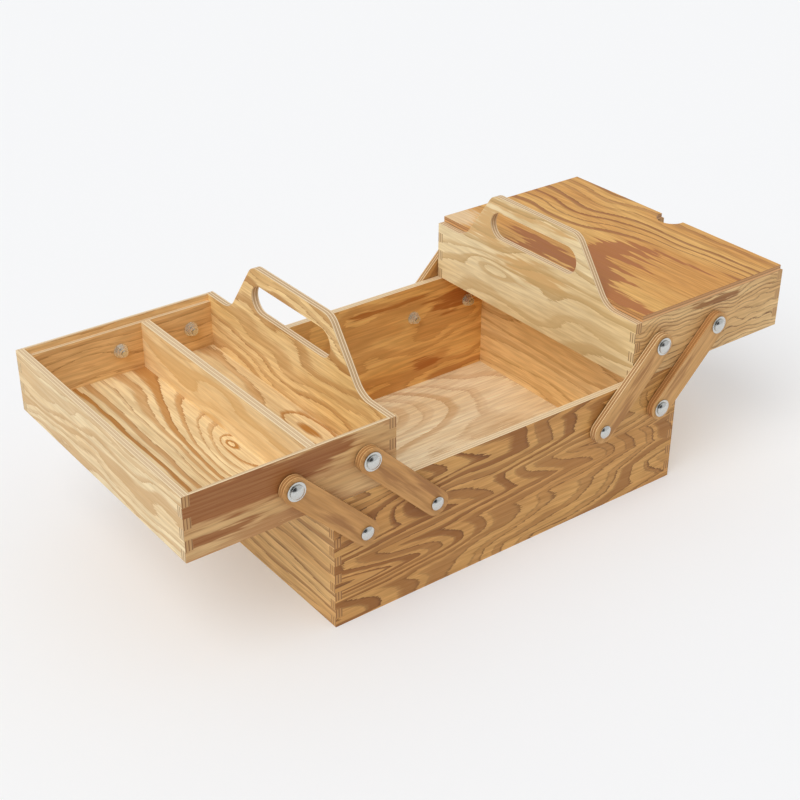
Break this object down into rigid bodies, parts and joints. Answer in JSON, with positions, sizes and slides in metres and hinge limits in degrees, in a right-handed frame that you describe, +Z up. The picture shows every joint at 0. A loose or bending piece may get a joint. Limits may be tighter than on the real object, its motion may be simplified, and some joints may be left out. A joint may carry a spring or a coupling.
{
  "type": "cantilever tool box",
  "caption": "Wooden cantilever tool box: finger-jointed plywood base, handled trays on swinging arms and a sliding tray lid.",
  "frame": {"origin": "middle of the base's underside", "axes": "+X across the box towards the tray with the lid, the way the trays swing out; +Y along the handles; +Z up. Rest pose has both trays swung out and the lid closed"},
  "size_m": [0.6716, 0.3158, 0.2455],
  "materials": {
    "base_plywood": "oiled softwood plywood, bold cathedral figure",
    "tray_plywood": "oiled softwood plywood, cathedral figure",
    "lid_plywood": "oiled softwood plywood, strong figure with brown bands",
    "arm_plywood": "oiled plywood, straight grain, bare laminated edges",
    "zinc_steel": "bright zinc plate"
  },
  "bodies": {
    "base": {"base_near_wall": "base_plywood", "base_far_wall": "base_plywood", "base_left_wall": "base_plywood", "base_right_wall": "base_plywood", "base_floor": "base_plywood", "base_left_bolts": "zinc_steel", "base_right_inner_bolts": "zinc_steel", "base_right_outer_bolts": "zinc_steel", "base_right_outer_head_washers": "zinc_steel", "base_left_spacers": "zinc_steel", "base_right_spacers": "zinc_steel", "base_left_nut_washers": "zinc_steel", "base_right_nut_washers": "zinc_steel", "base_left_nuts": "zinc_steel", "base_right_nuts": "zinc_steel"},
    "left_inner_arms": {"left_inner_arm_near": "arm_plywood", "left_inner_arm_far": "arm_plywood"},
    "left_outer_arms": {"left_outer_arm_near": "arm_plywood", "left_outer_arm_far": "arm_plywood"},
    "left_tray": {"left_tray_floor": "tray_plywood", "left_tray_handle_wall": "tray_plywood", "left_tray_outer_wall": "tray_plywood", "left_tray_divider": "tray_plywood", "left_tray_near_wall": "tray_plywood", "left_tray_far_wall": "tray_plywood", "left_tray_bolts": "zinc_steel", "left_tray_head_washers": "zinc_steel", "left_tray_spacers": "zinc_steel", "left_tray_nut_washers": "zinc_steel", "left_tray_nuts": "zinc_steel"},
    "right_inner_arms": {"right_inner_arm_near": "arm_plywood", "right_inner_arm_far": "arm_plywood"},
    "right_outer_arms": {"right_outer_arm_near": "arm_plywood", "right_outer_arm_far": "arm_plywood"},
    "right_tray": {"right_tray_floor": "tray_plywood", "right_tray_handle_wall": "tray_plywood", "right_tray_outer_wall": "tray_plywood", "right_tray_divider": "tray_plywood", "right_tray_near_wall": "tray_plywood", "right_tray_far_wall": "tray_plywood", "right_tray_bolts": "zinc_steel", "right_tray_head_washers": "zinc_steel", "right_tray_spacers": "zinc_steel", "right_tray_nut_washers": "zinc_steel", "right_tray_nuts": "zinc_steel"},
    "right_lid": {"right_lid": "lid_plywood", "right_lid_near_runner": "lid_plywood", "right_lid_far_runner": "lid_plywood"}
  },
  "joints": [
    {"name": "left_arm_swing", "type": "hinge", "parent": "base", "child": "left_inner_arms", "pos_m": [-0.09838, 0, 0.09062], "axis": [0, 1, 0], "range_deg": [0, 90]},
    {"name": "left_tray_level", "type": "hinge", "parent": "left_inner_arms", "child": "left_tray", "pos_m": [-0.16626, 0, 0.1585], "axis": [0, 1, 0], "range_deg": [-90, 0]},
    {"name": "left_outer_arm_swing", "type": "hinge", "parent": "base", "child": "left_outer_arms", "pos_m": [-0.1719, 0, 0.09062], "axis": [0, 1, 0], "range_deg": [0, 90]},
    {"name": "right_arm_swing", "type": "hinge", "parent": "base", "child": "right_inner_arms", "pos_m": [0.09838, 0, 0.09062], "axis": [0, -1, 0], "range_deg": [0, 90]},
    {"name": "right_tray_level", "type": "hinge", "parent": "right_inner_arms", "child": "right_tray", "pos_m": [0.16626, 0, 0.1585], "axis": [0, -1, 0], "range_deg": [-90, 0]},
    {"name": "right_outer_arm_swing", "type": "hinge", "parent": "base", "child": "right_outer_arms", "pos_m": [0.1719, 0, 0.09062], "axis": [0, -1, 0], "range_deg": [0, 90]},
    {"name": "right_lid_slide", "type": "slide", "parent": "right_tray", "child": "right_lid", "axis": [1, 0, 0], "range_m": [0, 0.065]}
  ],
  "couplings": [
    {"joint": "left_tray_level", "follows": "left_arm_swing", "ratio": -1},
    {"joint": "left_outer_arm_swing", "follows": "left_arm_swing", "ratio": 1},
    {"joint": "right_tray_level", "follows": "right_arm_swing", "ratio": -1},
    {"joint": "right_outer_arm_swing", "follows": "right_arm_swing", "ratio": 1}
  ]
}
